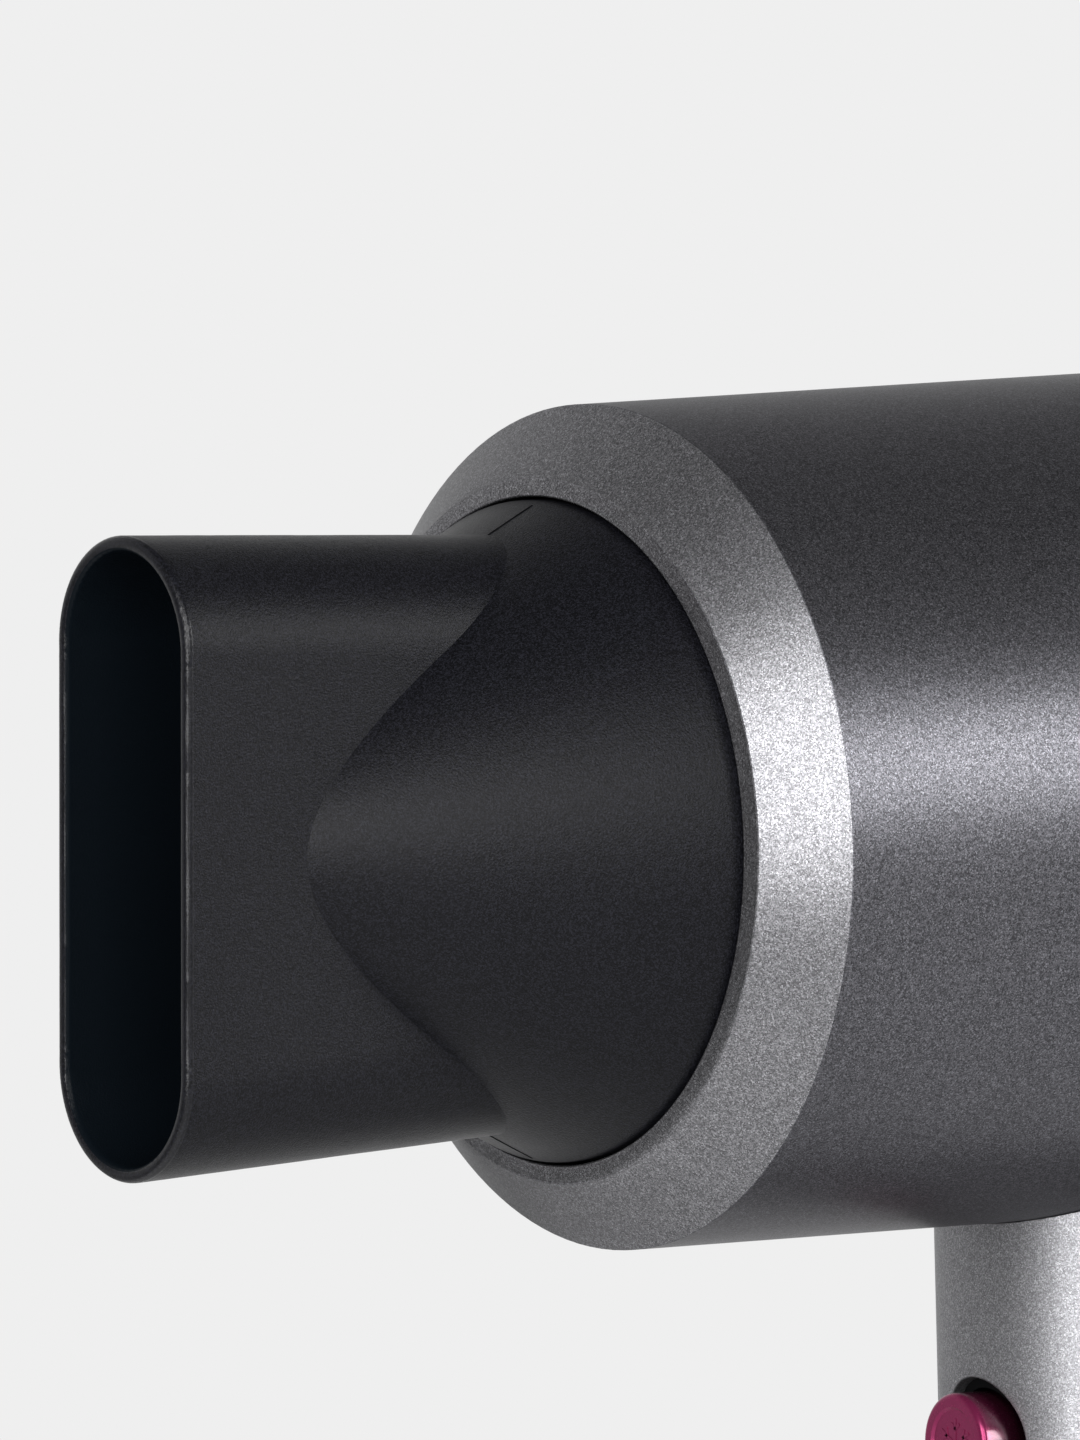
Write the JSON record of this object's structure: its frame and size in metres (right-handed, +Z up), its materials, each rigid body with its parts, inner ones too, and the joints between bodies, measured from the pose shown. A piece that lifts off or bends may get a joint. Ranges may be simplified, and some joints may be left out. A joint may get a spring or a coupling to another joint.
{
  "type": "hair dryer",
  "caption": "Hair dryer with a cylindrical barrel, bevelled front ring, swivelling slot nozzle, slim handle with a cool button and two sliders, and a pull-off inlet cap.",
  "frame": {"origin": "middle of the grip, on the handle's axis", "axes": "+X the way the air blows out of the nozzle, +Z up the handle towards the barrel, XZ the mirror plane"},
  "size_m": [0.1956, 0.08, 0.2143],
  "materials": {
    "barrel_paint": "satin metallic paint on plastic",
    "ring_paint": "satin metallic paint on plastic",
    "handle_paint": "satin metallic paint on plastic",
    "nozzle_black": "matte moulded",
    "outlet_black": "matte moulded",
    "trim_black": "gloss moulded",
    "button_burgundy": "gloss moulded",
    "slider_grey": "satin moulded",
    "rubber_black": "matte",
    "mica": "mica board",
    "heater_wire": "nickel-chrome ribbon",
    "steel": "zinc-plated",
    "spring_steel": "bright",
    "brass": "plain",
    "copper": "enamelled copper",
    "iron_core": "laminated",
    "magnet": "ferrite",
    "carbon": "carbon",
    "duct_white": "moulded",
    "fan_black": "moulded",
    "board_green": "solder mask",
    "switch_black": "moulded",
    "diode_black": "moulded",
    "wire_white": "silicone sleeve",
    "wire_red": "insulation",
    "filter_mesh": "woven"
  },
  "bodies": {
    "housing": {"barrel_shell": "barrel_paint", "front_ring": "ring_paint", "outlet_collar": "outlet_black", "outlet_grille": "outlet_black", "mica_tube": "mica", "heater_cross": "mica", "heater_coil_high": "heater_wire", "heater_coil_low": "heater_wire", "heater_rivets": "brass", "thermostat": "brass", "thermal_fuse": "steel", "motor_duct": "duct_white", "motor_can": "steel", "motor_end_bell": "duct_white", "motor_brushes": "carbon", "motor_magnets": "magnet", "motor_bushes": "brass", "rectifier_board": "board_green", "rectifier_diodes": "diode_black", "handle_front_shell": "handle_paint", "handle_rear_shell": "handle_paint", "handle_screws": "steel", "switch_board": "board_green", "speed_switch": "switch_black", "heat_switch": "switch_black", "switch_bezel": "trim_black", "button_bezel": "trim_black", "cool_switch": "switch_black", "button_spring": "spring_steel", "handle_end_cap": "trim_black", "cord_gland": "rubber_black", "cord_clamp": "switch_black", "clamp_screws": "steel", "lead_wires": "wire_white", "motor_leads": "wire_red"},
    "rotor": {"motor_shaft": "spring_steel", "armature_core": "iron_core", "armature_windings": "copper", "commutator": "copper", "fan": "fan_black"},
    "nozzle_ring": {"nozzle_seal": "rubber_black"},
    "nozzle": {"nozzle": "nozzle_black"},
    "inlet_cap": {"rear_cap": "barrel_paint", "filter_frame": "outlet_black", "filter_mesh": "filter_mesh"},
    "cool_button": {"cool_button": "button_burgundy"},
    "speed_slider": {"speed_slider": "slider_grey"},
    "heat_slider": {"heat_slider": "slider_grey"}
  },
  "joints": [
    {"name": "nozzle_pull", "type": "slide", "parent": "housing", "child": "nozzle_ring", "axis": [1, 0, 0], "range_m": [0, 0.03]},
    {"name": "nozzle_swivel", "type": "hinge", "parent": "nozzle_ring", "child": "nozzle", "pos_m": [0.061, 0, 0.1], "axis": [1, 0, 0], "continuous": true},
    {"name": "rear_cap_pull", "type": "slide", "parent": "housing", "child": "inlet_cap", "axis": [-1, 0, 0], "range_m": [0, 0.03]},
    {"name": "fan_spin", "type": "hinge", "parent": "housing", "child": "rotor", "pos_m": [0, 0, 0.1], "axis": [1, 0, 0], "continuous": true},
    {"name": "cool_button_press", "type": "slide", "parent": "housing", "child": "cool_button", "axis": [-1, 0, 0], "range_m": [0, 0.002], "stiffness_N_per_m": 500, "springref_m": -0.0006, "deforming": ["button_spring"]},
    {"name": "speed_slide", "type": "slide", "parent": "housing", "child": "speed_slider", "axis": [0.0246, 0, 0.9997], "range_m": [0, 0.008]},
    {"name": "heat_slide", "type": "slide", "parent": "housing", "child": "heat_slider", "axis": [0.0246, 0, 0.9997], "range_m": [0, 0.008]}
  ]
}
